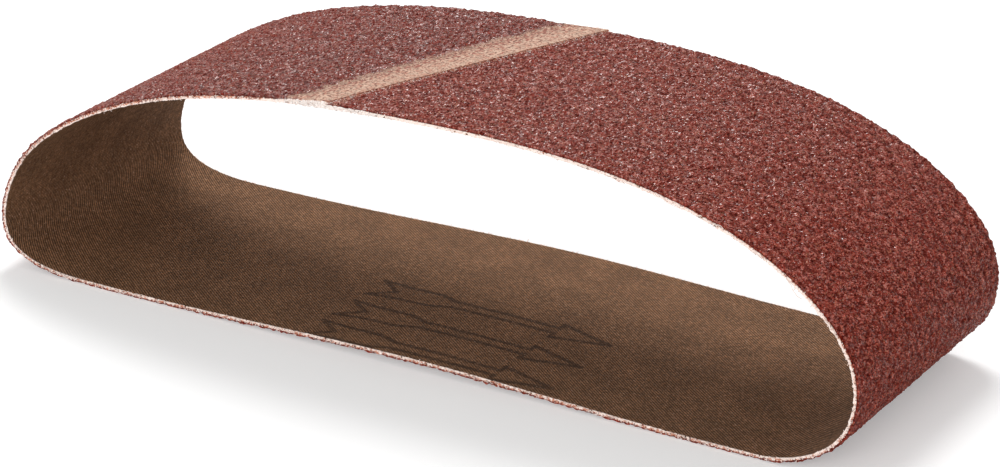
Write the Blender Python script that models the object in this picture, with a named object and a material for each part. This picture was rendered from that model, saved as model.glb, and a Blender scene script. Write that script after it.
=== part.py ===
"""Sanding belt: an endless strip of abrasive cloth, standing on a surface as an open loop.

The belt is cut flat, with two slanting ends, and is then bent round the loop. Each layer is drawn here in the
same way: a flat pattern, measured along the belt and across it, is given its thickness and then wrapped.
+X runs along the loop, +Y across the belt and +Z up. The origin is on the surface below the loop's middle.
"""

import bisect
import math

import bmesh
import bpy
from mathutils import Vector

MM = 0.001

# The belt
BELT_LENGTH = 533 * MM  # once round its inner face, as belts are sold
BELT_WIDTH = 75 * MM
CLOTH_THICKNESS = 0.75 * MM
GRAIN_THICKNESS = 0.45 * MM
BOND_GAP = 0.02 * MM  # between two layers that are stuck together

# The glued lap that closes the belt. The end that comes from -X lies over the other, whose cloth tapers
# away below it. The grain is ground off both, so that the lap is hardly thicker than the belt.
LAP_MIDDLE_X = -2.2 * MM  # where the covering end's edge crosses the middle of the belt's width
LAP_ANGLE = math.radians(24)  # from straight across
LAP_LENGTH = 12 * MM  # along the belt
BARE_NEAR = 11.3 * MM  # bare cloth of the covering end at the -Y edge, along the belt
BARE_FAR = 13.2 * MM  # the same at the +Y edge
GRIND_RUN_OUT = 3 * MM  # over which the grain thins out before it
GRAIN_FEATHER = 0.12 * MM  # grain left where it ends
COVERING_EDGE = 0.70 * MM  # cloth left at the covering end's edge
COVERED_TIP = 0.15 * MM  # cloth left at the covered end's tip
TIP_CLEARANCE = 0.3 * MM  # along the belt, from that tip to where the covering end starts down
TIP_STEP = 2 * MM  # over which it comes down
GLUE_THICKNESS = 0.06 * MM
GLUE_SQUEEZE = 0.30 * MM  # glue pressed out along the covering end's edge
GRAIN_START = 0.35 * MM  # from that edge to the covered end's grain

# The loop's inner face, seen from -Y, as it stands. Heights are above the surface below it.
REST_FLAT = 14 * MM  # each of the two flats that the belt stands on
LEFT_REST_X = -86.9 * MM
RIGHT_REST_X = 88.7 * MM
BOTTOM_RISE = 1.7 * MM  # the bottom run bows up between the rests
BOTTOM_RISE_X = 9 * MM
OVER_THE_TOP = (  # from the left rest round to the right one
    (-118.9 * MM, 8.4 * MM),
    (-114.3 * MM, 28.1 * MM),
    (-103.2 * MM, 39.0 * MM),
    (-47.4 * MM, 59.4 * MM),
    (5.6 * MM, 63.3 * MM),
    (60.5 * MM, 60.4 * MM),
    (89.4 * MM, 52.7 * MM),
    (109.7 * MM, 40.5 * MM),
    (119.2 * MM, 26.7 * MM),
    (117.5 * MM, 11.8 * MM),
)
FACET_LENGTH = 3.2 * MM  # of the flat facets that make up the curve
MERGE_DISTANCE = 0.0001 * MM  # points of the flat pattern nearer than this are one

CLOTH_COLOUR = (0.115, 0.066, 0.040, 1)
GRAIN_COLOUR = (0.270, 0.066, 0.052, 1)
GLUE_COLOUR = (0.150, 0.030, 0.018, 1)


def clear_scene():
    for item in list(bpy.data.objects):
        bpy.data.objects.remove(item)


def springy_curve(points, start, end):
    """The curve that a springy strip takes through these points, leaving along start and arriving along end."""
    count = len(points)
    spans = [(b - a).length for a, b in zip(points, points[1:])]
    # The strip bends equally on both sides of each point. That is solved from the first point to the
    # last, and then back.
    share = [0.0] * count
    slope = [start] * count
    for i in range(1, count - 1):
        before, after = spans[i - 1], spans[i]
        rise_before = (points[i] - points[i - 1]) / before
        rise_after = (points[i + 1] - points[i]) / after
        pivot = 2 * (before + after) - after * share[i - 1]
        share[i] = before / pivot
        slope[i] = (3 * (after * rise_before + before * rise_after) - after * slope[i - 1]) / pivot
    slope[-1] = end
    for i in range(count - 2, 0, -1):
        slope[i] = slope[i] - share[i] * slope[i + 1]
    curve = []
    for i, span in enumerate(spans):
        steps = max(2, math.ceil(span / FACET_LENGTH))
        for step in range(steps):
            t = step / steps
            curve.append(
                points[i] * (2 * t**3 - 3 * t**2 + 1)
                + slope[i] * span * (t**3 - 2 * t**2 + t)
                + points[i + 1] * (3 * t**2 - 2 * t**3)
                + slope[i + 1] * span * (t**3 - t**2)
            )
    return curve + [points[-1]]


def loop_outline(stretch):
    """The inner face's corners in the XZ plane, clockwise seen from -Y, with its places along X stretched."""
    lowest = CLOTH_THICKNESS + BOND_GAP + GRAIN_THICKNESS
    half = REST_FLAT / 2
    left, right = LEFT_REST_X * stretch, RIGHT_REST_X * stretch
    level = Vector((-1, 0))
    over = [Vector((x * stretch, z)) for x, z in OVER_THE_TOP]
    upper = springy_curve([Vector((left - half, lowest)), *over, Vector((right + half, lowest))], level, level)
    bow = Vector((BOTTOM_RISE_X * stretch, lowest + BOTTOM_RISE))
    lower = springy_curve([Vector((right - half, lowest)), bow, Vector((left + half, lowest))], level, level)
    return upper + lower


def length_round(corners):
    return sum((b - a).length for a, b in zip(corners, corners[1:] + corners[:1]))


def belt_outline():
    """The outline whose length is the belt's, centred on the origin."""
    short, long = 0.5, 2.0
    for _ in range(60):
        middle = (short + long) / 2
        if length_round(loop_outline(middle)) < BELT_LENGTH:
            short = middle
        else:
            long = middle
    corners = loop_outline(short)
    centre = (min(c.x for c in corners) + max(c.x for c in corners)) / 2
    return [c - Vector((centre, 0)) for c in corners]


class Loop:
    """The belt's inner face. It turns a distance along the belt and a height above the face into a place."""

    def __init__(self, corners):
        self.corners = corners
        self.count = len(corners)
        self.starts = [0.0]
        for a, b in zip(corners, corners[1:] + corners[:1]):
            self.starts.append(self.starts[-1] + (b - a).length)
        self.length = self.starts[-1]
        self.outward = [self.mitre(i) for i in range(self.count)]

    def mitre(self, i):
        """The way out at a corner, long enough to give both facets beside it the same height."""
        before = (self.corners[i] - self.corners[i - 1]).normalized()
        after = (self.corners[(i + 1) % self.count] - self.corners[i]).normalized()
        normals = [Vector((-way.y, way.x)) for way in (before, after)]
        middle = (normals[0] + normals[1]).normalized()
        return middle / middle.dot(normals[0])

    def place(self, along, across, height):
        along %= self.length
        i = min(bisect.bisect_right(self.starts, along) - 1, self.count - 1)
        share = (along - self.starts[i]) / (self.starts[i + 1] - self.starts[i])
        following = (i + 1) % self.count
        base = self.corners[i].lerp(self.corners[following], share)
        point = base + self.outward[i].lerp(self.outward[following], share) * height
        return Vector((point.x, across, point.y))

    def along_at(self, x):
        """How far along the belt its upper run passes x."""
        for i in range(self.count - 1):
            a, b = self.corners[i], self.corners[i + 1]
            if a.x <= x < b.x:
                return self.starts[i] + (x - a.x) / (b.x - a.x) * (b - a).length
        raise ValueError("the lap has to lie on the upper run")


def ramp(value, start, end, first, last):
    """first up to start, last from end on, and even in between."""
    share = min(1.0, max(0.0, (value - start) / (end - start)))
    return first + (last - first) * share


class Lap:
    """The glued lap: where it lies along the belt, and how high each layer is above the inner face.

    Places along the belt are measured past the covering end's edge. The strip starts with the covered end,
    a lap's length before that edge, goes once round and ends at the edge, on top of its own start.
    """

    def __init__(self, loop):
        self.middle = loop.along_at(LAP_MIDDLE_X)
        self.slant = math.tan(LAP_ANGLE)
        self.once_round = loop.length

    def past(self, along, across):
        return along - self.middle - across * self.slant

    def covered_end(self, past):
        return ramp(past, -LAP_LENGTH, 0, COVERED_TIP, CLOTH_THICKNESS)

    def glue_under(self, past, across):
        return self.covered_end(past) + BOND_GAP

    def glue_top(self, past, across):
        return self.glue_under(past, across) + GLUE_THICKNESS

    def cloth_under(self, past, across):
        to_edge = past - self.once_round
        on_glue = self.glue_top(to_edge, across) + BOND_GAP
        if to_edge >= -LAP_LENGTH:
            return on_glue
        start = -LAP_LENGTH - TIP_CLEARANCE
        return ramp(to_edge, start - TIP_STEP, start, 0, on_glue)

    def cloth_top(self, past, across):
        if past <= 0:
            return self.covered_end(past)
        thickness = ramp(past - self.once_round, -LAP_LENGTH, 0, CLOTH_THICKNESS, COVERING_EDGE)
        return self.cloth_under(past, across) + thickness

    def grain_under(self, past, across):
        return self.cloth_top(past, across) + BOND_GAP

    def grain_top(self, past, across):
        bare = BARE_NEAR + (BARE_FAR - BARE_NEAR) * (across / BELT_WIDTH + 0.5)
        end = self.once_round - bare
        thickness = ramp(past, end - GRIND_RUN_OUT, end, GRAIN_THICKNESS, GRAIN_FEATHER)
        return self.grain_under(past, across) + thickness

    def bends(self):
        """The lines along which the covering end bends to climb over the covered one's tip."""
        tip = self.once_round - LAP_LENGTH
        return [SlantLine(self, tip - back) for back in (TIP_CLEARANCE + TIP_STEP, TIP_CLEARANCE, 0)]


class SlantLine:
    """A straight line across the flat belt, given by its places past the lap's edge at the -Y and +Y edges."""

    def __init__(self, lap, near, far=None):
        half = BELT_WIDTH / 2
        self.near = lap.middle - half * lap.slant + near
        self.far = lap.middle + half * lap.slant + (near if far is None else far)

    def cut(self, pattern, keep=None):
        """Cuts the pattern along the line, and keeps only the part "before" or "after" it if told to."""
        along_line = Vector((self.far - self.near, BELT_WIDTH, 0))
        bmesh.ops.bisect_plane(
            pattern,
            geom=pattern.verts[:] + pattern.edges[:] + pattern.faces[:],
            dist=MERGE_DISTANCE,
            plane_co=(self.near, -BELT_WIDTH / 2, 0),
            plane_no=Vector((along_line.y, -along_line.x, 0)).normalized(),
            clear_inner=keep == "after",
            clear_outer=keep == "before",
        )


def flat_pattern(loop, start, end, lines=()):
    """The flat strip from one slanting line to another, divided at the loop's facets and along more lines."""
    low = min(start.near, start.far)
    high = max(end.near, end.far)
    creases = []
    turn = math.floor(low / loop.length)
    while turn * loop.length <= high:
        creases += [crease + turn * loop.length for crease in loop.starts[:-1]]
        turn += 1
    creases.append(turn * loop.length)
    first = bisect.bisect_right(creases, low) - 1
    last = bisect.bisect_left(creases, high)
    half = BELT_WIDTH / 2
    pattern = bmesh.new()
    pairs = [[pattern.verts.new((along, side, 0)) for side in (-half, half)] for along in creases[first : last + 1]]
    for (a, b), (d, c) in zip(pairs, pairs[1:]):
        pattern.faces.new((a, d, c, b))
    start.cut(pattern, keep="after")
    end.cut(pattern, keep="before")
    for line in lines:
        line.cut(pattern)
    return pattern


def wrapped_layer(name, pattern, loop, lap, under, top, material):
    """Gives the flat pattern its thickness and wraps it round the loop, as an object of its own."""
    raised = bmesh.ops.extrude_face_region(pattern, geom=pattern.faces[:], use_keep_orig=True)["geom"]
    raised = {item for item in raised if isinstance(item, bmesh.types.BMVert)}
    for vert in pattern.verts:
        along, across = vert.co.x, vert.co.y
        height = top if vert in raised else under
        vert.co = loop.place(along, across, height(lap.past(along, across), across))
    bmesh.ops.triangulate(pattern, faces=pattern.faces[:])
    bmesh.ops.recalc_face_normals(pattern, faces=pattern.faces[:])
    mesh = bpy.data.meshes.new(name)
    pattern.to_mesh(mesh)
    pattern.free()
    mesh.materials.append(material)
    mesh.shade_smooth()
    mesh.set_sharp_from_angle(angle=math.radians(30))
    layer = bpy.data.objects.new(name, mesh)
    bpy.context.scene.collection.objects.link(layer)
    return layer


def material_of(name, colour, roughness):
    material = bpy.data.materials.new(name)
    material.use_nodes = True
    surface = material.node_tree.nodes["Principled BSDF"]
    surface.inputs["Base Color"].default_value = colour
    surface.inputs["Roughness"].default_value = roughness
    surface.inputs["Metallic"].default_value = 0.0
    return material


def make_cloth(loop, lap):
    """The woven backing: one strip, once round the loop and on over its own start."""
    edge = lap.once_round
    pattern = flat_pattern(loop, SlantLine(lap, -LAP_LENGTH), SlantLine(lap, edge), [SlantLine(lap, 0), *lap.bends()])
    material = material_of("woven cloth", CLOTH_COLOUR, 0.85)
    return wrapped_layer("cloth_backing", pattern, loop, lap, lap.cloth_under, lap.cloth_top, material)


def make_grain(loop, lap):
    """The bonded grain on the cloth's outer face, from beside the covering end's edge round to the bare cloth."""
    edge = lap.once_round
    end = SlantLine(lap, edge - BARE_NEAR, edge - BARE_FAR)
    run_out = SlantLine(lap, edge - BARE_NEAR - GRIND_RUN_OUT, edge - BARE_FAR - GRIND_RUN_OUT)
    pattern = flat_pattern(loop, SlantLine(lap, GRAIN_START), end, [run_out, *lap.bends()])
    material = material_of("bonded grain", GRAIN_COLOUR, 0.7)
    return wrapped_layer("grain_coat", pattern, loop, lap, lap.grain_under, lap.grain_top, material)


def make_glue(loop, lap):
    """The film of glue between the two ends, pressed out a little along the covering end's edge."""
    pattern = flat_pattern(loop, SlantLine(lap, -LAP_LENGTH), SlantLine(lap, GLUE_SQUEEZE), [SlantLine(lap, 0)])
    material = material_of("set glue", GLUE_COLOUR, 0.4)
    return wrapped_layer("lap_glue", pattern, loop, lap, lap.glue_under, lap.glue_top, material)


def main():
    clear_scene()
    loop = Loop(belt_outline())
    lap = Lap(loop)
    make_cloth(loop, lap)
    make_grain(loop, lap)
    make_glue(loop, lap)


main()
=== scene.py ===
"""Sanding belt: the looks of an endless strip of abrasive cloth that stands open as a loop.

Every piece is made flat, as the belt is, and is then bent round the loop. Flat work lies along X from the
lap's edge, across Y, and its heights are above the belt's inner face.
"""

import math

import bmesh
import bpy
import numpy as np
from bpy.props import FloatProperty, FloatVectorProperty, IntProperty, PointerProperty
from mathutils import Matrix, Vector


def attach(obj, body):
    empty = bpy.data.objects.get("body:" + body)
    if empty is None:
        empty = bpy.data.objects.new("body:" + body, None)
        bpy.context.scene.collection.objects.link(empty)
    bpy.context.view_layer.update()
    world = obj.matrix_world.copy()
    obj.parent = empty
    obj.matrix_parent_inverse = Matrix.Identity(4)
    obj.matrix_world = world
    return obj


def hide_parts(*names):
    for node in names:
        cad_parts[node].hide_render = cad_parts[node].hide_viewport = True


bl_info = {
    "name": "Sanding Belt",
    "version": (1, 0, 0),
    "blender": (4, 5, 0),
    "location": "3D View > Sidebar > Sanding Belt",
    "description": "Makes an abrasive belt that stands open as a loop",
    "category": "Object",
}

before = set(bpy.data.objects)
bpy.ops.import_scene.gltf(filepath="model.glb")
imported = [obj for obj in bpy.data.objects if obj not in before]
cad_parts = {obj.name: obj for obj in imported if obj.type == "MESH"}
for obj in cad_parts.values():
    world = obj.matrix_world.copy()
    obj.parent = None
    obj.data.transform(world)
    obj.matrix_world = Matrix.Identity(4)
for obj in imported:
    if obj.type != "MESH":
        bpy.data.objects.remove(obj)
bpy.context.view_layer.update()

MM = 0.001
TINY = 0.001 * MM

# The loop's inner face, seen from -Y, as it stands
REST_FLAT = 14 * MM
LEFT_REST_X = -86.9 * MM
RIGHT_REST_X = 88.7 * MM
BOTTOM_RISE = 1.7 * MM
BOTTOM_RISE_X = 9 * MM
OVER_THE_TOP = (
    (-118.9 * MM, 8.4 * MM),
    (-114.3 * MM, 28.1 * MM),
    (-103.2 * MM, 39.0 * MM),
    (-47.4 * MM, 59.4 * MM),
    (5.6 * MM, 63.3 * MM),
    (60.5 * MM, 60.4 * MM),
    (89.4 * MM, 52.7 * MM),
    (109.7 * MM, 40.5 * MM),
    (119.2 * MM, 26.7 * MM),
    (117.5 * MM, 11.8 * MM),
)
CURVE_STEP = 0.5 * MM

# The lap
LAP_MIDDLE_X = -2.2 * MM
BARE_NEAR = 11.3 * MM
BARE_FAR = 13.2 * MM
COVERING_EDGE = 0.70 * MM
COVERED_TIP = 0.15 * MM
TIP_CLEARANCE = 0.3 * MM
TIP_STEP = 2 * MM
GLUE_THICKNESS = 0.06 * MM
BOND_GAP = 0.02 * MM
GRAIN_START = 0.03 * MM

# How far in from the belt's long edges its pieces reach
WOVEN_INSET = 0.3 * MM
CUT_EDGE_INNER = 0.35 * MM
CUT_EDGE_OUTER = 0.05 * MM
COAT_INSET = 0.20 * MM
BAND_INSET = 0.1 * MM
GLUE_INSET = 0.2 * MM
FRAY_INSET = 0.20 * MM

# The coat's relief: each layer's texture, its size in grains, and its height
RELIEF = (
    ("grains", "VORONOI", 1.0, -0.35 * MM),
    ("chips", "VORONOI", 2.0, -0.22 * MM),
    ("heaps", "CLOUDS", 2.7, 0.88 * MM),
)
RELIEF_LEVEL = 0.45
RELIEF_RANGE = 0.45 * MM

# Where the coat was ground away: its run-out, how far that reaches into the band, and its heights there
RUN_OUT = 4 * MM
RUN_OUT_END = 2 * MM
WORN_DEPTH = 0.05 * MM
THINNEST = 0.04 * MM
COAT_SUNK = 0.1 * MM

# Where the coat's painted sheen and painted shade change, past the lap's edge: from where that starts to
# where it is full
SHEEN_AFTER = (170 * MM, 30 * MM)
SHEEN_BEFORE = (400 * MM, 500 * MM)
# Painted shade round the +X bend: there the coat is made redder, with less green and blue
BEND_SHADE_AFTER = (40 * MM, 150 * MM)
BEND_SHADE_BEFORE = (400 * MM, 300 * MM)
BEND_SHADE_TINT = (1.0, 0.70, 0.60)

# The ground band, which goes on a little under the coat, and the glue with its bead
BAND_UNDER = 5 * MM
BAND_HEIGHT = 0.1 * MM
BEAD_WIDTH = 0.32 * MM

# The arrows printed on the inner face: half of one's outline in millimetres, and its lines' soft edge
ARROWS_X = 0 * MM
ARROW_ROWS = (-5.6 * MM, -19.6 * MM, -33.1 * MM)
ARROW_OUTLINE = (
    (-21.5, 0.0),
    (-28.0, 4.6),
    (-21.0, 3.7),
    (-10.0, 3.5),
    (-5.0, 1.7),
    (25.0, 1.5),
    (25.0, 3.9),
    (40.0, 0.0),
)
ARROW_LINE = (0.90 * MM, 0.40 * MM)

# How much whiter the -Y edge's threads are made, by millimetres past the lap's edge
WHITER_THREADS = ((-20, 0), (-12, 1), (25, 1), (60, 0.6), (140, 0.4), (200, 0))
WHITER_BEFORE = 30 * MM

# Where a thread has come loose from the -Y edge, past the lap's edge
LOOSE_THREADS = [place * MM for place in (30, 52, 61, 74, 83, 86, 97, 108, 120, 300, 352, 371)]
LAP_FRAYS = 420
CORNER_FRAYS = 1100
TUFT_STEPS = 3

# The stage: what the world gives as light and as background, and each softbox's place, size and power
WORLD_LIGHT = 0.46
WORLD_SHOWN = 1.0
FLOOR_SIZE = 12
FLOOR_COLOUR = (0.80, 0.80, 0.80)
FLOOR_GLOW = 0.30
SOFTBOXES = (
    ("softbox_above", (-0.30, 0.60, 1.15), 0.5, 10.8),
    ("softbox_front", (0.30, -1.38, 0.50), 0.8, 10.0),
    ("softbox_left", (-0.90, -1.10, 0.25), 0.6, 3.5),
)
CAMERA_PLACE = (0.411787, -0.647909, 0.347696)
CAMERA_AZIMUTH = math.radians(32.095)
CAMERA_HEIGHT = math.radians(23.063)
CAMERA_ROLL = math.radians(-0.684)
CAMERA_LENS = 122.4


class BeltSizes(bpy.types.PropertyGroup):
    """The belt's driving sizes."""

    belt_length: FloatProperty(
        name="Belt length",
        description="Once round the inner face",
        default=533 * MM,
        unit="LENGTH",
    )
    belt_width: FloatProperty(
        name="Belt width",
        description="Across the belt",
        default=75 * MM,
        unit="LENGTH",
    )
    cloth_thickness: FloatProperty(
        name="Cloth thickness",
        description="Of the woven backing",
        default=0.75 * MM,
        unit="LENGTH",
        precision=5,
    )
    grain_thickness: FloatProperty(
        name="Grain thickness",
        description="Of the coat over the cloth",
        default=0.45 * MM,
        unit="LENGTH",
        precision=5,
    )
    grain_size: FloatProperty(
        name="Grain size",
        description="Across one abrasive grain",
        default=0.55 * MM,
        unit="LENGTH",
        precision=5,
    )
    lap_length: FloatProperty(
        name="Lap length",
        description="Of the glued overlap, along the belt",
        default=12 * MM,
        unit="LENGTH",
    )
    lap_angle: FloatProperty(
        name="Lap angle",
        description="Of the lap, from straight across",
        default=math.radians(24),
        unit="ROTATION",
    )
    rib_pitch: FloatProperty(
        name="Rib pitch",
        description="Between the cloth's twill ribs",
        default=0.63 * MM,
        unit="LENGTH",
        precision=5,
    )
    fringe_count: IntProperty(
        name="Fringe ends",
        description="Frayed thread ends along each cut edge",
        default=3200,
        min=0,
    )


class BeltColours(bpy.types.PropertyGroup):
    """The belt's colours."""

    resin: FloatVectorProperty(
        name="Resin",
        description="Between the grains",
        default=(0.135, 0.009, 0.004),
        subtype="COLOR",
    )
    grain: FloatVectorProperty(
        name="Grain",
        description="Of most grains",
        default=(0.265, 0.043, 0.027),
        subtype="COLOR",
    )
    # Partly pale grains, partly painted glints on the highest grains
    pale_grain_and_glint: FloatVectorProperty(
        name="Pale grain",
        description="Of the palest grains",
        default=(0.57, 0.205, 0.155),
        subtype="COLOR",
    )
    grey_grain: FloatVectorProperty(
        name="Grey grain",
        description="Of a few odd grains",
        default=(0.40, 0.18, 0.11),
        subtype="COLOR",
    )
    scuffed_grain: FloatVectorProperty(
        name="Scuffed grain",
        description="Beside the lap's edge",
        default=(0.80, 0.45, 0.33),
        subtype="COLOR",
    )
    # A painted sheen: a pale haze on some grains that stands in for light glancing off the coat
    painted_sheen: FloatVectorProperty(
        name="Dust",
        description="On the coat, on both sides of the lap",
        default=(0.42, 0.34, 0.33),
        subtype="COLOR",
    )
    cloth: FloatVectorProperty(
        name="Cloth",
        description="Of the woven inner face",
        default=(0.196, 0.097, 0.049),
        subtype="COLOR",
    )
    cloth_patches: FloatVectorProperty(
        name="Cloth patches",
        description="Of soft patches on the woven inner face",
        default=(0.188, 0.100, 0.055),
        subtype="COLOR",
    )
    print_ink: FloatVectorProperty(
        name="Print",
        description="Of the arrows on the inner face",
        default=(0.036, 0.018, 0.010),
        subtype="COLOR",
    )
    ground_cloth: FloatVectorProperty(
        name="Ground cloth",
        description="Where the grain is ground off",
        default=(0.64, 0.43, 0.32),
        subtype="COLOR",
    )
    stained_cloth: FloatVectorProperty(
        name="Stained cloth",
        description="Of soft patches on the ground cloth",
        default=(0.50, 0.22, 0.15),
        subtype="COLOR",
    )
    grain_fleck: FloatVectorProperty(
        name="Grain fleck",
        description="Of the bits of grain on the ground cloth",
        default=(0.30, 0.075, 0.05),
        subtype="COLOR",
    )
    resin_fleck: FloatVectorProperty(
        name="Resin fleck",
        description="Of the bits of resin on the ground cloth",
        default=(0.13, 0.045, 0.028),
        subtype="COLOR",
    )
    thread: FloatVectorProperty(
        name="Thread",
        description="Inside the cloth, at its cut edges",
        default=(0.95, 0.81, 0.74),
        subtype="COLOR",
    )
    stained_thread: FloatVectorProperty(
        name="Stained thread",
        description="Thread that has taken up resin",
        default=(0.55, 0.19, 0.10),
        subtype="COLOR",
    )
    undyed_thread: FloatVectorProperty(
        name="Undyed thread",
        description="At the lap's corner",
        default=(0.97, 0.90, 0.86),
        subtype="COLOR",
    )
    glue: FloatVectorProperty(
        name="Glue",
        description="Of the line along the lap",
        default=(0.16, 0.028, 0.018),
        subtype="COLOR",
    )


def springy_curve(points, start, end):
    """The curve that a springy strip takes through these points, from the way start to the way end."""
    points = np.array(points)
    count = len(points)
    spans = np.linalg.norm(np.diff(points, axis=0), axis=1)
    # The strip bends equally on both sides of each point.
    bend = np.eye(count)
    pull = np.zeros((count, 2))
    pull[0], pull[-1] = start, end
    for i in range(1, count - 1):
        before, after = spans[i - 1], spans[i]
        bend[i, i - 1 : i + 2] = after, 2 * (before + after), before
        rise_before = (points[i] - points[i - 1]) / before
        rise_after = (points[i + 1] - points[i]) / after
        pull[i] = 3 * (after * rise_before + before * rise_after)
    slope = np.linalg.solve(bend, pull)
    runs = []
    for i, span in enumerate(spans):
        steps = math.ceil(span / CURVE_STEP)
        t = np.arange(steps)[:, None] / steps
        runs.append(
            points[i] * (2 * t**3 - 3 * t**2 + 1)
            + slope[i] * span * (t**3 - 2 * t**2 + t)
            + points[i + 1] * (3 * t**2 - 2 * t**3)
            + slope[i + 1] * span * (t**3 - t**2)
        )
    return np.vstack(runs)


class Loop:
    """The belt's inner face as it stands, and the lap that closes it."""

    def __init__(self, sizes):
        self.sizes = sizes
        self.cloth = sizes.cloth_thickness
        self.slant = math.tan(sizes.lap_angle)
        short, long = 0.5, 2.0
        for _ in range(50):
            stretch = (short + long) / 2
            outline = self.outline(stretch)
            if self.round(outline)[-1] < sizes.belt_length:
                short = stretch
            else:
                long = stretch
        outline[:, 0] -= (outline[:, 0].min() + outline[:, 0].max()) / 2
        self.places = np.vstack([outline, outline[:1]])
        self.alongs = self.round(outline)
        self.length = self.alongs[-1]
        ways = np.roll(outline, -1, axis=0) - np.roll(outline, 1, axis=0)
        ways /= np.linalg.norm(ways, axis=1)[:, None]
        outward = np.column_stack([-ways[:, 1], ways[:, 0]])
        self.outward = np.vstack([outward, outward[:1]])
        upper = slice(0, int(np.argmax(outline[:, 0])))
        high = outline[upper, 1] > outline[:, 1].max() / 2
        self.middle = float(np.interp(LAP_MIDDLE_X, outline[upper][high, 0], self.alongs[upper][high]))

    def outline(self, stretch):
        """Corners of the inner face, clockwise seen from -Y, with the places along X stretched."""
        lowest = self.cloth + BOND_GAP + self.sizes.grain_thickness
        left, right = LEFT_REST_X * stretch, RIGHT_REST_X * stretch
        half = REST_FLAT / 2
        over = [(x * stretch, z) for x, z in OVER_THE_TOP]
        level = (-1, 0)
        upper = springy_curve([(left - half, lowest), *over, (right + half, lowest)], level, level)
        bow = (BOTTOM_RISE_X * stretch, lowest + BOTTOM_RISE)
        lower = springy_curve([(right - half, lowest), bow, (left + half, lowest)], level, level)
        ends = np.array([(right + half, lowest)]), np.array([(left + half, lowest)])
        return np.vstack([upper, ends[0], lower, ends[1]])

    def round(self, outline):
        """How far along the belt each corner is, and the length once round."""
        steps = np.roll(outline, -1, axis=0) - outline
        return np.concatenate([[0.0], np.cumsum(np.linalg.norm(steps, axis=1))])

    def past(self, along, across):
        """How far a place is past the covering end's edge."""
        return along - self.middle - across * self.slant

    def along(self, past, across):
        """How far along the belt a place is that lies this far past the covering end's edge."""
        return past + self.middle + across * self.slant

    def covered(self, past):
        """Thickness of the covered end."""
        return np.interp(past, [-self.sizes.lap_length, 0], [COVERED_TIP, self.cloth])

    def cloth_under(self, past):
        """Height of the cloth's inner side, which climbs over the covered end."""
        lap = self.sizes.lap_length
        glued = GLUE_THICKNESS + 2 * BOND_GAP
        tip, edge = COVERED_TIP + glued, self.cloth + glued
        bends = [-lap - TIP_CLEARANCE - TIP_STEP, -lap - TIP_CLEARANCE, -lap, 0]
        return np.interp(past - self.length, bends, [0, tip, tip, edge])

    def cloth_top(self, past):
        """Height of the cloth's outer side."""
        lap = self.sizes.lap_length
        covering = np.interp(past - self.length, [-lap, 0], [self.cloth, COVERING_EDGE])
        return np.where(past <= 0, self.covered(past), self.cloth_under(past) + covering)

    def bare_start(self, across):
        """Where the grain ends, past the covering end's edge."""
        bare = BARE_NEAR + (BARE_FAR - BARE_NEAR) * (across / self.sizes.belt_width + 0.5)
        return self.length - bare

    def bend(self, flat):
        """Turns places along the belt, across it and above its inner face into places in the room."""
        along = np.mod(flat[:, 0], self.length)
        base = [np.interp(along, self.alongs, self.places[:, i]) for i in range(2)]
        out = [np.interp(along, self.alongs, self.outward[:, i]) for i in range(2)]
        height = base[1] + out[1] * flat[:, 2]
        return np.column_stack([base[0] + out[0] * flat[:, 2], flat[:, 1], np.maximum(height, 0)])


def patches(x, y, size, seed):
    """Soft random values from 0 to 1 that change over about this size."""
    rows = np.random.default_rng(seed).random((257, 257))
    u, v = x / size, y / size
    i, j = np.floor(u).astype(int), np.floor(v).astype(int)
    s, t = u - i, v - j
    s, t = s * s * (3 - 2 * s), t * t * (3 - 2 * t)
    i, j = i % 256, j % 256
    low = rows[i, j] * (1 - s) + rows[i + 1, j] * s
    high = rows[i, j + 1] * (1 - s) + rows[i + 1, j + 1] * s
    return low * (1 - t) + high * t


def corners_of(piece):
    """The places of a piece's corners, one to a row."""
    places = np.empty(len(piece.data.vertices) * 3)
    piece.data.vertices.foreach_get("co", places)
    return places.reshape(-1, 3)


def move_corners(piece, places):
    """Moves a piece's corners to these places."""
    piece.data.vertices.foreach_set("co", np.ascontiguousarray(places).ravel())
    piece.data.update()


def slab(name, low, high):
    """A flat slab between two corners, as an object at the origin."""
    low, high = np.array(low), np.array(high)
    bpy.ops.object.select_all(action="DESELECT")
    bpy.ops.mesh.primitive_cube_add(size=1, location=(low + high) / 2, scale=high - low)
    bpy.ops.object.transform_apply(location=True, rotation=True, scale=True)
    piece = bpy.context.object
    piece.name = piece.data.name = name
    return piece


def divide(piece, axis, cuts, test=None):
    """Splits the edges that run along an axis, once for each number, by that many cuts."""
    others = [i for i in range(3) if i != axis]
    bpy.ops.object.mode_set(mode="EDIT")
    for number in cuts:
        bpy.ops.mesh.select_mode(type="EDGE")
        bpy.ops.mesh.select_all(action="DESELECT")
        mesh = bmesh.from_edit_mesh(piece.data)
        for edge in mesh.edges:
            a, b = edge.verts[0].co, edge.verts[1].co
            runs = abs(a[axis] - b[axis]) > TINY and all(abs(a[i] - b[i]) < TINY for i in others)
            if runs and (test is None or (test(a) and test(b))):
                edge.select_set(True)
        bmesh.update_edit_mesh(piece.data)
        bpy.ops.mesh.subdivide(number_cuts=number)
    bpy.ops.object.mode_set(mode="OBJECT")


def cut(piece, loop, near, far=None, keep=None):
    """Cuts flat work along a slanting line, given by how far past the lap's edge it meets both edges."""
    half = loop.sizes.belt_width / 2
    start = Vector((loop.along(near, -half), -half, 0))
    end = Vector((loop.along(near if far is None else far, half), half, 0))
    way = end - start
    bpy.ops.object.mode_set(mode="EDIT")
    bpy.ops.mesh.select_all(action="SELECT")
    bpy.ops.mesh.bisect(
        plane_co=start,
        plane_no=Vector((way.y, -way.x, 0)).normalized(),
        use_fill=keep is not None,
        clear_inner=keep == "after",
        clear_outer=keep == "before",
        threshold=0.0001 * MM,
    )
    bpy.ops.object.mode_set(mode="OBJECT")


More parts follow.
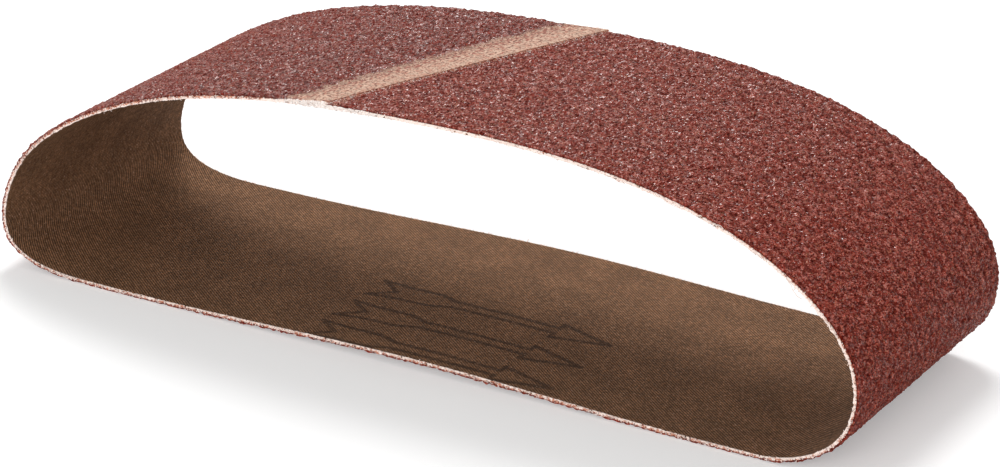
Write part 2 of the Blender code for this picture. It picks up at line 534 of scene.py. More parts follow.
def map_flat(piece, loop):
    """Gives flat work a UV map in metres: along the belt, and across it from the -Y edge."""
    layer = piece.data.uv_layers.active or piece.data.uv_layers.new()
    layer.name = "flat"
    corner = np.empty(len(piece.data.loops), int)
    piece.data.loops.foreach_get("vertex_index", corner)
    flat = corners_of(piece)[corner, :2]
    flat[:, 1] += loop.sizes.belt_width / 2
    layer.data.foreach_set("uv", flat.ravel())


def finish_piece(piece, loop, node=None, smooth=None):
    """Maps flat work, bends it round the loop and puts it on the belt."""
    map_flat(piece, loop)
    move_corners(piece, loop.bend(corners_of(piece)))
    piece.data.validate()
    bpy.ops.object.select_all(action="DESELECT")
    piece.select_set(True)
    bpy.context.view_layer.objects.active = piece
    if smooth is None:
        bpy.ops.object.shade_flat()
    else:
        bpy.ops.object.shade_smooth_by_angle(angle=math.radians(smooth))
    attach(piece, "root")
    if node:
        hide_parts(node)


class Shade:
    """One socket of a node. Sums on it add Math nodes."""

    def __init__(self, nodes, socket):
        self.nodes = nodes
        self.socket = socket

    def sum(self, operation, *values, clamp=False):
        settings = {"operation": operation, "use_clamp": clamp}
        return self.nodes.node("ShaderNodeMath", settings, dict(enumerate(values)))

    def __add__(self, other):
        return self.sum("ADD", self, other)

    __radd__ = __add__

    def __sub__(self, other):
        return self.sum("SUBTRACT", self, other)

    def __rsub__(self, other):
        return self.sum("SUBTRACT", other, self)

    def __mul__(self, other):
        return self.sum("MULTIPLY", self, other)

    __rmul__ = __mul__

    def wave(self):
        """A sine wave of this phase, from 0 to 1."""
        return self.sum("SINE", self) * 0.5 + 0.5

    def size(self):
        """The number without its sign."""
        return self.sum("ABSOLUTE", self)

    def least(self, other):
        return self.sum("MINIMUM", self, other)

    def most(self, other):
        return self.sum("MAXIMUM", self, other)

    def over(self, low, high):
        """0 up to low, 1 from high on, and soft in between. low may be the larger."""
        if low > high:
            return 1 - self.over(high, low)
        inputs = {"Value": self, "From Min": low, "From Max": high}
        return self.nodes.node("ShaderNodeMapRange", {"interpolation_type": "SMOOTHSTEP"}, inputs)


class Nodes:
    """A node tree in the making."""

    def __init__(self, tree):
        self.tree = tree

    def node(self, kind, settings=None, inputs=None, output=0):
        """Adds a node with these settings, and these values or links in its sockets."""
        node = self.tree.nodes.new(kind)
        for key, value in (settings or {}).items():
            setattr(node, key, value)
        for key, value in (inputs or {}).items():
            self.feed(node.inputs[key], value)
        return Shade(self, node.outputs[output])

    def feed(self, socket, value):
        if isinstance(value, Shade):
            self.tree.links.new(value.socket, socket)
        elif hasattr(value, "__len__") and len(value) == 3 and socket.type == "RGBA":
            socket.default_value = (*value, 1)
        else:
            socket.default_value = value


class Finish(Nodes):
    """A material in the making."""

    def __init__(self, name, roughness=0.8, **constants):
        self.material = bpy.data.materials.new(name)
        self.material.use_nodes = True
        super().__init__(self.material.node_tree)
        self.surface = self.tree.nodes["Principled BSDF"]
        self.set(Roughness=roughness, **constants)

    def set(self, **inputs):
        """Feeds the surface's sockets, with _ for each space in a name."""
        for key, value in inputs.items():
            self.feed(self.surface.inputs[key.replace("_", " ")], value)

    def mix(self, low, high, share):
        """The colour low where share is 0, and high where it is 1."""
        return self.node("ShaderNodeMix", {"data_type": "RGBA"}, {0: share, 6: low, 7: high}, output=2)

    def vector(self, operation, *values, output=0):
        return self.node("ShaderNodeVectorMath", {"operation": operation}, dict(enumerate(values)), output)

    def scaled(self, vector, number):
        """A vector times a number, or a colour made lighter or darker by it."""
        return self.node("ShaderNodeVectorMath", {"operation": "SCALE"}, {0: vector, "Scale": number})

    def place(self):
        """The place in the room, in metres."""
        return self.node("ShaderNodeTexCoord", output="Object")

    def flat(self):
        """The place along the belt and across it, in metres."""
        return self.node("ShaderNodeUVMap", {"uv_map": "flat"})

    def parts(self, vector):
        """The three numbers of a vector or colour."""
        split = self.node("ShaderNodeSeparateXYZ", None, {0: vector})
        return split, Shade(self, split.socket.node.outputs[1]), Shade(self, split.socket.node.outputs[2])

    def noise(self, where, size, detail=2.0, rough=0.5):
        inputs = {"Vector": where, "Scale": 1 / size, "Detail": detail, "Roughness": rough}
        return self.node("ShaderNodeTexNoise", None, inputs, output="Fac")

    def cells(self, where, size, output):
        """Flat cells of about this size, each with a colour and a middle of its own."""
        inputs = {"Vector": where, "Scale": 1 / size}
        return self.node("ShaderNodeTexVoronoi", {"voronoi_dimensions": "2D"}, inputs, output)

    def bump(self, height, depth):
        """A normal for this relief, whose height of 1 is this deep."""
        inputs = {"Strength": 1.0, "Distance": depth, "Height": height}
        return self.node("ShaderNodeBump", None, inputs)

    def attribute(self, name):
        """A number that each corner of the piece carries."""
        return self.node("ShaderNodeAttribute", {"attribute_name": name}, output="Fac")


def past_edge(finish, loop):
    """How far past the covering end's edge a place on the flat map is."""
    along, across, _ = finish.parts(finish.flat())
    return along - (across - loop.sizes.belt_width / 2) * loop.slant - loop.middle


def grain_finish(loop, colours):
    """Angular grains of several tones, set in dark resin."""
    finish = Finish("bonded_grain", Specular_IOR_Level=0.05, Coat_Roughness=0.20)
    flat = finish.flat()
    where = finish.vector("MULTIPLY", flat, (1.35, 1, 1))
    facet_size = loop.sizes.grain_size * 0.72
    gap = finish.cells(where, facet_size, "Distance")
    chance = finish.cells(where, facet_size, "Color")
    middle = finish.cells(where, facet_size, "Position")
    tone, second, third = finish.parts(chance)
    relief = finish.attribute("relief")
    kept = finish.attribute("kept")
    cloudy = finish.noise(where, 9 * MM)
    clumps = finish.noise(where, 1.9 * MM)
    speck = finish.noise(where, 0.24 * MM, detail=1)
    fine = finish.noise(where, 0.16 * MM)

    colour = finish.mix(colours.resin, colours.grain, tone.over(-0.10, 0.80))
    # Painted glints: the pale colour goes on grains at random, but most on the highest ones, where light
    # would catch
    glint = second.over(0.35, 1.0) * relief.over(0.05, 0.60)
    colour = finish.mix(colour, colours.pale_grain_and_glint, glint * 0.70)
    colour = finish.mix(colour, colours.grey_grain, third.over(0.94, 0.97) * 0.8)

    # Painted sheen on the stretch before the lap and a little just after it; painted shade before the lap
    # and painted light just after it; painted shade round the +X bend
    past = past_edge(finish, loop)
    after, before = past.over(*SHEEN_AFTER), past.over(*SHEEN_BEFORE)
    sheen = (after * 0.25 + before) * second.over(0.30, 0.90)
    colour = finish.mix(colour, colours.painted_sheen, sheen * 0.30)
    # Painted shade: darker between the grains and where the relief is low; the noises after it are random
    # tone
    shade = (1 - gap.over(0.30, 0.70) * 0.28) * (0.85 + relief.over(0.10, 0.85) * 0.34)
    shade = shade * (0.90 + cloudy * 0.20) * (0.46 + clumps * 1.06) * (0.68 + speck * 0.64)
    colour = finish.scaled(colour, shade * (0.94 + after * 0.04 - before * 0.05))
    # Painted shade round the +X bend, with less green and blue in the colour
    bend_shade = past.over(*BEND_SHADE_AFTER) * past.over(*BEND_SHADE_BEFORE)
    colour = finish.mix(colour, finish.vector("MULTIPLY", colour, BEND_SHADE_TINT), bend_shade)

    # Worn through to the cloth where it was ground, and scuffed beside the lap's edge
    worn = (1 - kept).over(0.10, 0.75) * finish.noise(where, 0.6 * MM).over(0.30, 0.60)
    colour = finish.mix(colour, colours.ground_cloth, worn)
    _, across, _ = finish.parts(flat)
    corner = across.over(10 * MM, 0.0)
    scuffed = (past - corner * 2.2 * MM).over(1.3 * MM, 0.1 * MM)
    scuffed = scuffed * finish.noise(where, 0.5 * MM).over(0.48, 0.60)
    colour = finish.mix(colour, colours.scuffed_grain, scuffed * 0.75)

    # Each grain is a facet that tilts its own way
    tilt = finish.vector("SUBTRACT", chance, (0.5, 0.5, 0.5))
    facet = finish.vector("DOT_PRODUCT", finish.vector("SUBTRACT", where, middle), tilt, output="Value")
    height = facet * 1.5 - gap * 0.08 * MM + fine * 0.06 * MM
    finish.set(Base_Color=colour, Roughness=0.35 + tone * 0.35, Normal=finish.bump(height, 1.0))
    glossy = tone.over(0.20, 0.80) * second.over(0.15, 0.70) * clumps.over(0.32, 0.54)
    finish.set(Coat_Weight=glossy * (1 - worn))
    return finish.material


def arrow_print(finish, along, across, loop):
    """How inky the cloth is: three arrows in outline, side by side."""
    half = len(loop.alongs) // 2
    lower, alongs = loop.places[half:-1, 0], loop.alongs[half:-1]
    order = np.argsort(lower)
    x = float(np.interp(ARROWS_X, lower[order], alongs[order])) - along
    middle = loop.sizes.belt_width / 2
    first, second, third = ((across - (middle + row)).size() for row in ARROW_ROWS)
    here = finish.node("ShaderNodeCombineXYZ", None, {0: x, 1: first.least(second).least(third)})
    nearest = None
    for start, end in zip(ARROW_OUTLINE, ARROW_OUTLINE[1:]):
        a = Vector((*start, 0)) * MM
        b = Vector((*end, 0)) * MM
        way = b - a
        gone = finish.vector("SUBTRACT", here, a)
        dot = finish.vector("DOT_PRODUCT", gone, way / way.length_squared, output="Value")
        share = dot.sum("ADD", dot, 0.0, clamp=True)
        apart = finish.vector("DISTANCE", gone, finish.scaled(tuple(way), share), output="Value")
        nearest = apart if nearest is None else nearest.least(apart)
    return nearest.over(*ARROW_LINE)


def cloth_finish(loop, colours):
    """Resin-filled twill with a print, and specks of lint."""
    finish = Finish("woven_cloth", roughness=0.75, Specular_IOR_Level=0.10)
    flat = finish.flat()
    along, across, _ = finish.parts(flat)
    drift = finish.noise(flat, 5 * MM) * 0.8
    ribs = ((across * 0.80 - along * 0.60) * (2 * math.pi / loop.sizes.rib_pitch) + drift).wave()
    cloudy = finish.noise(flat, 12 * MM, detail=3)
    mottle = finish.noise(flat, 1.3 * MM, detail=2, rough=0.6).over(0.36, 0.64)
    fluff = finish.noise(flat, 0.60 * MM, detail=1).over(0.34, 0.66)
    broad = finish.noise(flat, 4.5 * MM, detail=1)
    shade = (0.32 + ribs * 1.36) * (0.88 + cloudy.over(0.30, 0.70) * 0.24) * (0.80 + broad * 0.40)
    shade = shade * (0.79 + mottle * 0.42) * (0.77 + fluff * 0.46)
    tint = finish.noise(flat, 1.1 * MM, detail=2)
    colour = finish.mix(colours.cloth, colours.cloth_patches, tint.over(0.35, 0.65))
    colour = finish.scaled(colour, shade)
    ink = arrow_print(finish, along, across, loop) * finish.noise(flat, 0.9 * MM).over(0.05, 0.60)
    colour = finish.mix(colour, colours.print_ink, ink * 0.80)
    lint = finish.noise(flat, 0.45 * MM, detail=0).over(0.69, 0.77) * mottle
    colour = finish.mix(colour, colours.ground_cloth, lint * 0.60)
    height = ribs + mottle * 0.8
    finish.set(Base_Color=colour, Normal=finish.bump(height, 0.09 * MM))
    return finish.material


def ground_finish(loop, colours):
    """Cloth with its grain ground off: pale, with dark flecks of what is left along it."""
    finish = Finish("ground_cloth", roughness=0.8, Specular_IOR_Level=0.3)
    flat = finish.flat()
    drawn = finish.vector("MULTIPLY", flat, (0.75, 0.95, 1))
    fleck = finish.noise(drawn, 0.55 * MM, detail=1)
    broad = finish.noise(flat, 2.6 * MM, detail=2)
    _, across, _ = finish.parts(flat)
    strand_pitch = 0.55 * MM
    strands = (across * (2 * math.pi / strand_pitch)).wave()
    shade = (0.65 + broad * 0.70) * (0.86 + strands * 0.20)
    colour = finish.scaled(colours.ground_cloth, shade)
    rust = finish.noise(flat, 1.7 * MM)
    colour = finish.mix(colour, colours.stained_cloth, rust.over(0.45, 0.65) * 0.65)
    left = (past_edge(finish, loop) - loop.length).over(-4 * MM, -BARE_FAR)
    grain = (finish.noise(drawn, 0.8 * MM, detail=2) + left * 0.15).over(0.58, 0.64)
    colour = finish.mix(colour, colours.grain_fleck, grain * 0.8)
    resin = (fleck + left * 0.05).over(0.55, 0.61)
    colour = finish.mix(colour, colours.resin_fleck, resin * 0.88)
    finish.set(Base_Color=colour, Normal=finish.bump(strands * 0.5 - fleck, 0.09 * MM))
    return finish.material


def thread_finish(name, undyed, colours, stained, darkened=0.0):
    """Thread ends, undyed or stained through by the resin to this share."""
    finish = Finish(name, roughness=0.9, Specular_IOR_Level=0.2)
    where = finish.place()
    depth = finish.attribute("depth")
    whiter = finish.attribute("whiter")
    # The whiter share takes stain and dark flecks off the threads
    stain = finish.noise(where, 0.9 * MM, detail=3, rough=0.7) + (depth - 0.5) * 0.22 - whiter * 0.30
    dark = finish.noise(where, 0.50 * MM, detail=2) + (depth - 0.5) * 0.16 - whiter * 0.16
    low = 0.66 - stained * 0.5
    colour = finish.mix(undyed, colours.stained_thread, stain.over(low - 0.07, low + 0.07) * 0.9)
    colour = finish.mix(colour, colours.resin, dark.over(0.53 - darkened, 0.62 - darkened) * 0.8)
    finish.set(Base_Color=colour, Normal=finish.bump(dark, 0.15 * MM))
    return finish.material


def glue_finish(colours):
    """Hard glue, clouded with resin."""
    finish = Finish("set_glue", roughness=0.45)
    cloudy = finish.noise(finish.place(), 0.8 * MM)
    colour = finish.mix(colours.glue, colours.resin, cloudy)
    finish.set(Base_Color=colour, Normal=finish.bump(cloudy, 0.05 * MM))
    return finish.material


def set_values(piece, name, values):
    """Gives each corner of a piece a number that its finish reads."""
    piece.data.attributes.new(name, "FLOAT", "POINT").data.foreach_set("value", values)


def mark_whiter(piece, loop, side):
    """Says how much whiter the cut threads of flat work are made: most beside the lap, on the -Y edge."""
    past = loop.past(corners_of(piece)[:, 0], side * loop.sizes.belt_width / 2)
    past = np.mod(past + WHITER_BEFORE, loop.length) - WHITER_BEFORE
    set_values(piece, "whiter", np.interp(past / MM, *zip(*WHITER_THREADS)) * (side < 0))


def threads(name, paths, radius, sides=3):
    """Thin pointed threads along these paths, copied from one that is drawn out of a cone."""
    steps = paths.shape[1] - 1
    bpy.ops.object.select_all(action="DESELECT")
    bpy.ops.mesh.primitive_cone_add(vertices=sides, radius1=1, radius2=0.6, depth=1, location=(0, 0, 0.5))
    bpy.ops.object.transform_apply(location=True, rotation=True, scale=True)
    model = bpy.context.object
    bpy.ops.object.mode_set(mode="EDIT")
    bpy.ops.mesh.select_mode(type="EDGE")
    bpy.ops.mesh.select_all(action="DESELECT")
    mesh = bmesh.from_edit_mesh(model.data)
    for edge in mesh.edges:
        edge.select_set(abs(edge.verts[0].co.z - edge.verts[1].co.z) > 0.5)
    bmesh.update_edit_mesh(model.data)
    bpy.ops.mesh.subdivide(number_cuts=steps - 1)
    bpy.ops.object.mode_set(mode="OBJECT")
    pattern = corners_of(model)
    faces = [tuple(face.vertices) for face in model.data.polygons]
    bpy.data.objects.remove(model)
    step = np.clip(np.rint(pattern[:, 2] * steps).astype(int), 0, steps)
    ways = np.gradient(paths, axis=1)
    ways /= np.linalg.norm(ways, axis=2)[..., None] + 1e-12
    # Any way that no thread runs along
    odd_way = (0.31, 0.17, 0.93)
    aside = np.cross(ways, odd_way)
    aside /= np.linalg.norm(aside, axis=2)[..., None] + 1e-12
    upward = np.cross(ways, aside)
    wide = np.asarray(radius).reshape(-1, 1, 1)
    places = (
        paths[:, step]
        + aside[:, step] * pattern[None, :, 0, None] * wide
        + upward[:, step] * pattern[None, :, 1, None] * wide
    )
    each = len(pattern)
    every_face = [tuple(v + i * each for v in face) for i in range(len(paths)) for face in faces]
    data = bpy.data.meshes.new(name)
    data.from_pydata(places.reshape(-1, 3).tolist(), [], every_face)
    piece = bpy.data.objects.new(name, data)
    bpy.context.scene.collection.objects.link(piece)
    return piece


def tuft_paths(roots, ways, lengths, droop):
    """Paths that leave each root along its way and bend by droop."""
    t = np.linspace(0, 1, TUFT_STEPS + 1)[None, :, None]
    lengths = lengths[:, None, None]
    return roots[:, None, :] + ways[:, None, :] * t * lengths + droop[:, None, :] * t**2 * lengths


class BELT_OT_cloth(bpy.types.Operator):
    """Make the woven backing, with its cut edges"""

    bl_idname = "belt.cloth"
    bl_label = "Cloth backing"

    def execute(self, context):
        sizes, colours = context.scene.belt_sizes, context.scene.belt_colours
        loop = Loop(sizes)
        half = sizes.belt_width / 2
        lap = sizes.lap_length
        low = loop.along(-lap, -half) - MM
        high = loop.along(loop.length, half) + MM
        thick = sizes.cloth_thickness
        side = half - WOVEN_INSET
        cloth = slab("cloth_backing_woven", (low, -side, 0), (high, side, thick))
        divide(cloth, 0, (19, 19))
        divide(cloth, 1, (31,))
        cut(cloth, loop, -lap, keep="after")
        cut(cloth, loop, loop.length, keep="before")
        cut(cloth, loop, 0)
        for back in (TIP_CLEARANCE + TIP_STEP, TIP_CLEARANCE, 0):
            cut(cloth, loop, loop.length - lap - back)
        self.lay(cloth, loop)
        cloth.data.materials.append(cloth_finish(loop, colours))
        edge_finish = thread_finish("lap_edge_thread", colours.thread, colours, 1.0, darkened=0.13)
        cloth.data.materials.append(edge_finish)
        past = loop.past(*corners_of(cloth)[:, :2].T)
        for face in cloth.data.polygons:
            if min(past[list(face.vertices)]) > loop.length - 0.05 * MM:
                face.material_index = 1
        finish_piece(cloth, loop, "cloth_backing", smooth=40)
        material = thread_finish("cut_thread", colours.thread, colours, 0.30)
        for name, side in (("cut_edge_front", -1), ("cut_edge_back", 1)):
            inner, outer = side * (half - CUT_EDGE_INNER), side * (half - CUT_EDGE_OUTER)
            edge = slab(name, (low, min(inner, outer), 0), (high, max(inner, outer), thick))
            divide(edge, 0, (12, 12, 12))
            divide(edge, 2, (3,), test=lambda place: abs(place.y - outer) < TINY)
            cut(edge, loop, -lap, keep="after")
            cut(edge, loop, loop.length, keep="before")
            places = corners_of(edge)
            x, z = places[:, 0], places[:, 2]
            fray = np.abs(places[:, 1] - outer) < TINY
            rough = patches(x, z, 0.38 * MM, 3 + side) * 0.6 + patches(x, z, 1.3 * MM, 8 + side) * 0.4
            places[:, 1] += np.where(fray, side * (rough - 0.60) * 0.70 * MM, 0)
            swell = 1 + (patches(x, z * 0 + side, 0.70 * MM, 14 + side) - 0.60) * 0.90 * fray
            places[:, 2] = (z - thick / 2) * swell + thick / 2
            set_values(edge, "depth", places[:, 2] / thick)
            mark_whiter(edge, loop, side)
            move_corners(edge, places)
            self.lay(edge, loop)
            edge.data.materials.append(material)
            finish_piece(edge, loop, smooth=60)
        return {"FINISHED"}

    def lay(self, piece, loop):
        """Tapers the two ends and lifts one over the other."""
        places = corners_of(piece)
        past = loop.past(places[:, 0], places[:, 1])
        under = loop.cloth_under(past)
        places[:, 2] = under + places[:, 2] / loop.cloth * (loop.cloth_top(past) - under)
        move_corners(piece, places)


class BELT_OT_coat(bpy.types.Operator):
    """Make the coat of abrasive grain"""

    bl_idname = "belt.coat"
    bl_label = "Grain coat"

    def execute(self, context):
        sizes, colours = context.scene.belt_sizes, context.scene.belt_colours
        loop = Loop(sizes)
        half = sizes.belt_width / 2
        near, far = (loop.bare_start(y) + RUN_OUT_END for y in (-half, half))
        side = half - COAT_INSET
        bottom, top = loop.cloth - COAT_SUNK, loop.cloth + sizes.grain_thickness
        material = grain_finish(loop, colours)
        bounds = np.linspace(loop.along(GRAIN_START, -half), loop.along(far, half), 5)
        for i, (start, end) in enumerate(zip(bounds, bounds[1:])):
            coat = slab(f"grain_coat_{i + 1}", (start, -side, bottom), (end, side, top))
            divide(coat, 0, (19, 19))
            divide(coat, 1, (14, 14), test=lambda place: place.z > loop.cloth)
            cut(coat, loop, GRAIN_START, keep="after")
            cut(coat, loop, near, far, keep="before")
            self.roughen(coat, top, sizes)
            self.lay(coat, loop, top)
            coat.data.materials.append(material)
            finish_piece(coat, loop, "grain_coat")
        return {"FINISHED"}

    def roughen(self, coat, top, sizes):
        """Raises the grains on the coat's upper side."""
        group = coat.vertex_groups.new(name="top")
        places = corners_of(coat)
        group.add([int(i) for i in np.flatnonzero(places[:, 2] > top - TINY)], 1.0, "REPLACE")
        for name, kind, size, height in RELIEF:
            texture = bpy.data.textures.new(name, kind)
            texture.noise_scale = sizes.grain_size * size
            relief = coat.modifiers.new(name, "DISPLACE")
            relief.texture = texture
            relief.texture_coords = "LOCAL"
            relief.direction = "Z"
            relief.vertex_group = "top"
            relief.strength = height
            relief.mid_level = RELIEF_LEVEL
            bpy.context.view_layer.objects.active = coat
            bpy.ops.object.modifier_apply(modifier=relief.name)
            bpy.data.textures.remove(texture)

    def lay(self, coat, loop, top):
        """Thins the coat where it was ground away, makes its edges ragged, and lays it on the cloth."""
        places = corners_of(coat)
        x, y, z = places.T
        past = loop.past(x, y)
        # The relief also drives the finish's painted shade in the hollows and painted glints on the tops
        set_values(coat, "relief", np.clip(0.5 + (z - top) / RELIEF_RANGE, 0, 1))
        ground = past - loop.bare_start(y)
        worn = patches(x, y, 2.2 * MM, 21) * 0.6 + patches(x, y, 0.8 * MM, 22) * 0.4
        left = np.clip(0.5 - ground / RUN_OUT + (worn - 0.5) * 1.3, 0, 1)
        left = np.where(ground < -RUN_OUT, 1, left)
        set_values(coat, "kept", left)
        upper = z > loop.cloth
        lowest = loop.cloth - WORN_DEPTH
        z = np.where(upper, lowest + (z - lowest) * left, z)
        z = np.where(upper, np.maximum(z, loop.cloth + THINNEST * left), z)
        places[:, 2] = z + loop.cloth_top(past) - loop.cloth
        rim = np.abs(y) > loop.sizes.belt_width / 2 - COAT_INSET - TINY
        ragged = patches(x, y, 0.7 * MM, 23) * 0.36 * MM
        places[:, 1] = np.where(rim, y - np.sign(y) * ragged, y)
        move_corners(coat, places)


class BELT_OT_lap(bpy.types.Operator):
    """Make the lap's bare band and its line of glue"""

    bl_idname = "belt.lap"
    bl_label = "Glued lap"

    def execute(self, context):
        sizes, colours = context.scene.belt_sizes, context.scene.belt_colours
        loop = Loop(sizes)
        half = sizes.belt_width / 2
        reach, side = BARE_FAR + BAND_UNDER, half - BAND_INSET
        band = slab("ground_band", (-reach, -side, 0), (-BOND_GAP, side, BAND_HEIGHT))
        divide(band, 0, (6, 7))
        divide(band, 1, (14, 14), test=lambda place: place.z > BAND_HEIGHT / 2)
        x, y, z = corners_of(band).T
        past = x + loop.length
        relief = patches(x, y, 0.45 * MM, 31) * 0.5 + patches(x * 0.3, y, 0.8 * MM, 32) * 0.5
        ragged = patches(x * 0, y, 0.5 * MM, 33) * 0.14 * MM
        past = np.where(x > -0.1 * MM, past - ragged, past)
        lift = np.where(z > BAND_HEIGHT / 2, 0.015 * MM + relief * 0.07 * MM, -0.06 * MM)
        move_corners(band, np.column_stack([loop.along(past, y), y, loop.cloth_top(past) + lift]))
        band.data.materials.append(ground_finish(loop, colours))
        finish_piece(band, loop, smooth=60)

        side = half - GLUE_INSET
        low, high = (-sizes.lap_length, -side, 0), (BEAD_WIDTH, side, GLUE_THICKNESS)
        film = slab("lap_glue_line", low, high)
        divide(film, 0, (15,))
        divide(film, 1, (11, 11))
        x, y, z = corners_of(film).T
        rise = patches(x * 0, y, 0.9 * MM, 41)
        outside = x > 0.2 * MM
        bead = np.where(outside & (z > GLUE_THICKNESS / 2), rise * 0.22 * MM, 0)
        reach = np.where(outside, (rise - 0.5) * 0.25 * MM, 0)
        height = loop.covered(x) + BOND_GAP + z + bead
        move_corners(film, np.column_stack([loop.along(x + reach, y), y, height]))
        film.data.materials.append(glue_finish(colours))
        finish_piece(film, loop, "lap_glue", smooth=60)
        return {"FINISHED"}


class BELT_OT_frays(bpy.types.Operator):
    """Make the frayed thread ends along the cut edges and the lap"""

    bl_idname = "belt.frays"
    bl_label = "Frayed edges"

    def execute(self, context):
        sizes, colours = context.scene.belt_sizes, context.scene.belt_colours
        loop = Loop(sizes)
        half = sizes.belt_width / 2
        chance = np.random.default_rng(51)
        material = thread_finish("frayed_thread", colours.thread, colours, 0.30)
        for name, side in (("frays_front", -1), ("frays_back", 1)):
            count = sizes.fringe_count
            along = loop.along(chance.random(count) * loop.length, side * half)
            height = chance.random(count) * (sizes.cloth_thickness + 0.05 * MM)
            lift = loop.cloth_under(loop.past(along, side * half))
            root = np.full(count, side * (half - FRAY_INSET))
            roots = np.column_stack([along, root, height + lift])
            sideways, outward = chance.normal(0, 0.7, count), np.full(count, side)
            ways = np.column_stack([sideways, outward, chance.normal(0, 0.5, count)])
            ways /= np.linalg.norm(ways, axis=1)[:, None]
            lengths = (0.15 + chance.exponential(0.09, count)).clip(0, 0.7) * MM
            droop = chance.normal(0, 0.5, (count, 3))
            thick = chance.uniform(0.07, 0.17, count) * MM
            piece = threads(name, tuft_paths(roots, ways, lengths, droop), thick)
            mark_whiter(piece, loop, side)
            piece.data.materials.append(material)
            finish_piece(piece, loop, smooth=60)
        self.lap_frays(loop, colours, chance, material)
        self.loose_threads(loop, chance, material)
        return {"FINISHED"}

    def lap_frays(self, loop, colours, chance, material):
        """Thread ends of the covering end's edge, and the thick fray at its -Y corner."""
        half = loop.sizes.belt_width / 2
        count = LAP_FRAYS
        across = half * (2 * chance.random(count) ** 1.3 - 1)
        past = loop.length + chance.uniform(-0.5, 0.0, count) * MM
        top = loop.cloth_top(np.full(count, loop.length - 0.1 * MM))
        height = top - chance.uniform(0.02, 0.30, count) * MM
        roots = np.column_stack([loop.along(past, across), across, height])
        sideways = chance.normal(0, 0.5, count)
        ways = np.column_stack([np.ones(count), sideways, chance.uniform(-0.45, 0.1, count)])
        lengths = chance.uniform(0.3, 1.1, count) * MM
        sideways = chance.normal(0, 0.3, count)
        droop = np.column_stack([np.zeros(count), sideways, np.full(count, -0.25)])
        thick = chance.uniform(0.035, 0.08, count) * MM
        piece = threads("frays_lap", tuft_paths(roots, ways, lengths, droop), thick)
        piece.data.materials.append(material)
        finish_piece(piece, loop, smooth=60)

        count = CORNER_FRAYS
        past = loop.length + chance.normal(0, 7, count).clip(-18, 18) * MM
        past = np.where(past > loop.length, past - loop.length, past)
        near = np.full(count, -half)
        depth = chance.random(count)
        rise = depth * (loop.cloth_top(past) + 0.16 * MM) - 0.04 * MM
        roots = np.column_stack([loop.along(past, near), near + 0.1 * MM, rise])
        along, outward = chance.normal(0.3, 0.6, count), np.full(count, -0.45)
        upward = -0.35 * (1 - depth) + chance.normal(0, 0.2, count)
        ways = np.column_stack([along, outward, upward])
        lengths = chance.uniform(0.18, 0.38, count) * MM
        droop = chance.normal(0, 0.4, (count, 3))
        thick = chance.uniform(0.10, 0.20, count) * MM
        piece = threads("frays_lap_corner", tuft_paths(roots, ways, lengths, droop), thick)
        undyed = thread_finish("undyed_thread", colours.undyed_thread, colours, 0.02, darkened=-0.05)
        piece.data.materials.append(undyed)
        finish_piece(piece, loop, smooth=60)

    def loose_threads(self, loop, chance, material):
        """Longer threads that have come away along the -Y edge."""
        half = loop.sizes.belt_width / 2
        starts = loop.middle + np.array(LOOSE_THREADS)
        count, steps = len(starts), 13
        t = np.linspace(0, 1, steps)
        lengths = chance.uniform(2.5, 6.0, count) * MM
        paths = np.empty((count, steps, 3))
        for i in range(count):
            wiggle = np.cumsum(chance.normal(0, 0.12 * MM, (steps, 2)), axis=0)
            paths[i, :, 0] = starts[i] + t * lengths[i]
            paths[i, :, 1] = -half - 0.12 * MM - np.abs(wiggle[:, 0]) - 0.15 * MM * np.sin(t * math.pi)
            paths[i, :, 2] = chance.uniform(0.2, 0.9) * loop.cloth + wiggle[:, 1]
        thick = chance.uniform(0.07, 0.12, count) * MM
        piece = threads("loose_threads", paths, thick, sides=5)
        piece.data.materials.append(material)
        finish_piece(piece, loop, smooth=60)


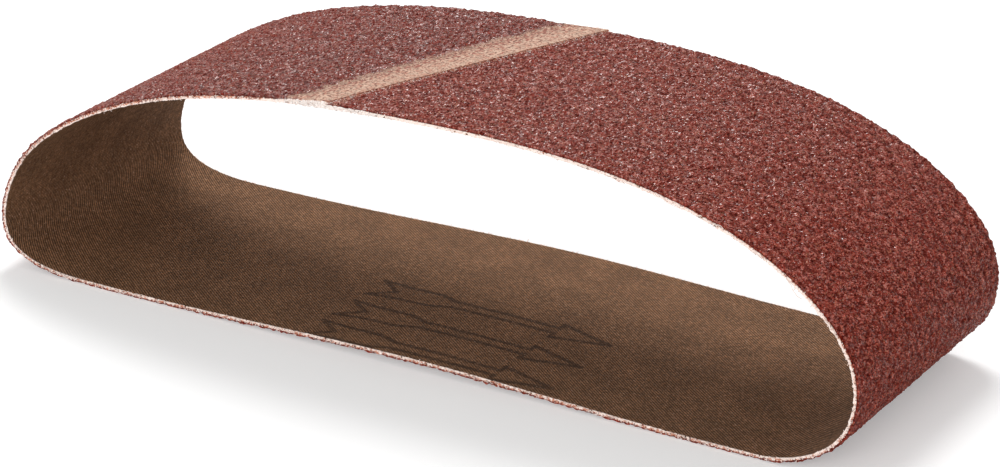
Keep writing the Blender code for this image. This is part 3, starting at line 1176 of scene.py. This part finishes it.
class BELT_OT_stage(bpy.types.Operator):
    """Make the floor, the lights and the camera"""

    bl_idname = "belt.stage"
    bl_label = "Stage"

    def execute(self, context):
        bpy.ops.object.select_all(action="DESELECT")
        bpy.ops.mesh.primitive_plane_add(size=FLOOR_SIZE)
        floor = context.object
        floor.name = "floor"
        finish = Finish("pale_floor", roughness=0.9, Base_Color=FLOOR_COLOUR)
        seen = finish.node("ShaderNodeLightPath", output="Is Camera Ray")
        glow = finish.node("ShaderNodeEmission", None, {"Color": (1, 1, 1), "Strength": FLOOR_GLOW})
        dark = finish.node("ShaderNodeEmission", None, {"Color": (0, 0, 0), "Strength": 0.0})
        shown = finish.node("ShaderNodeMixShader", None, {0: seen, 1: dark, 2: glow})
        surface = Shade(finish, finish.surface.outputs[0])
        both = finish.node("ShaderNodeAddShader", None, {0: surface, 1: shown})
        finish.feed(finish.tree.nodes["Material Output"].inputs["Surface"], both)
        floor.data.materials.append(finish.material)
        self.light(context)
        self.camera(context)
        return {"FINISHED"}

    def light(self, context):
        """Even light from all round, and three softboxes."""
        world = bpy.data.worlds.new("studio")
        context.scene.world = world
        world.use_nodes = True
        nodes = Nodes(world.node_tree)
        shown = nodes.node("ShaderNodeLightPath", output="Is Camera Ray")
        for kind in ("Is Glossy Ray", "Is Transmission Ray"):
            shown = shown.most(nodes.node("ShaderNodeLightPath", output=kind))
        levels = {"Value": shown, "To Min": WORLD_LIGHT, "To Max": WORLD_SHOWN}
        strength = nodes.node("ShaderNodeMapRange", None, levels)
        ground = nodes.tree.nodes["Background"]
        nodes.feed(ground.inputs["Color"], (1, 1, 1))
        nodes.feed(ground.inputs["Strength"], strength)
        for name, place, size, power in SOFTBOXES:
            lamp = bpy.data.lights.new(name, "AREA")
            lamp.energy = power
            lamp.size = size
            light = bpy.data.objects.new(name, lamp)
            light.location = place
            light.rotation_mode = "QUATERNION"
            light.rotation_quaternion = Vector(place).to_track_quat("Z", "Y")
            context.scene.collection.objects.link(light)

    def camera(self, context):
        """The camera that sees the belt as the photograph does."""
        away, turn = math.cos(CAMERA_HEIGHT), CAMERA_AZIMUTH
        back = Vector((math.sin(turn) * away, -math.cos(turn) * away, math.sin(CAMERA_HEIGHT)))
        level = Vector((math.cos(turn), math.sin(turn), 0))
        up = back.cross(level)
        right = level * math.cos(CAMERA_ROLL) + up * math.sin(CAMERA_ROLL)
        top = up * math.cos(CAMERA_ROLL) - level * math.sin(CAMERA_ROLL)
        lens = bpy.data.cameras.new("camera")
        lens.lens = CAMERA_LENS
        lens.sensor_width = 36
        lens.clip_start, lens.clip_end = 0.01, 50
        camera = bpy.data.objects.new("camera", lens)
        facing = Matrix((right, top, back)).transposed().to_4x4()
        camera.matrix_world = Matrix.Translation(CAMERA_PLACE) @ facing
        context.scene.collection.objects.link(camera)
        context.scene.camera = camera
        context.scene.view_settings.view_transform = "Standard"


class BELT_PT_panel(bpy.types.Panel):
    """The belt's sizes, colours and steps"""

    bl_label = "Sanding Belt"
    bl_idname = "BELT_PT_panel"
    bl_space_type = "VIEW_3D"
    bl_region_type = "UI"
    bl_category = "Sanding Belt"

    def draw(self, context):
        for group in (context.scene.belt_sizes, context.scene.belt_colours):
            column = self.layout.column()
            for name in group.__annotations__:
                column.prop(group, name)
        for step in STEPS:
            self.layout.operator(step.bl_idname)


STEPS = (BELT_OT_cloth, BELT_OT_coat, BELT_OT_lap, BELT_OT_frays, BELT_OT_stage)
CLASSES = (BeltSizes, BeltColours, *STEPS, BELT_PT_panel)


def register():
    for item in CLASSES:
        bpy.utils.register_class(item)
    bpy.types.Scene.belt_sizes = PointerProperty(type=BeltSizes)
    bpy.types.Scene.belt_colours = PointerProperty(type=BeltColours)


def unregister():
    del bpy.types.Scene.belt_colours
    del bpy.types.Scene.belt_sizes
    for item in reversed(CLASSES):
        bpy.utils.unregister_class(item)


def main():
    register()
    bpy.ops.belt.cloth()
    bpy.ops.belt.coat()
    bpy.ops.belt.lap()
    bpy.ops.belt.frays()
    bpy.ops.belt.stage()


if __name__ == "__main__":
    main()
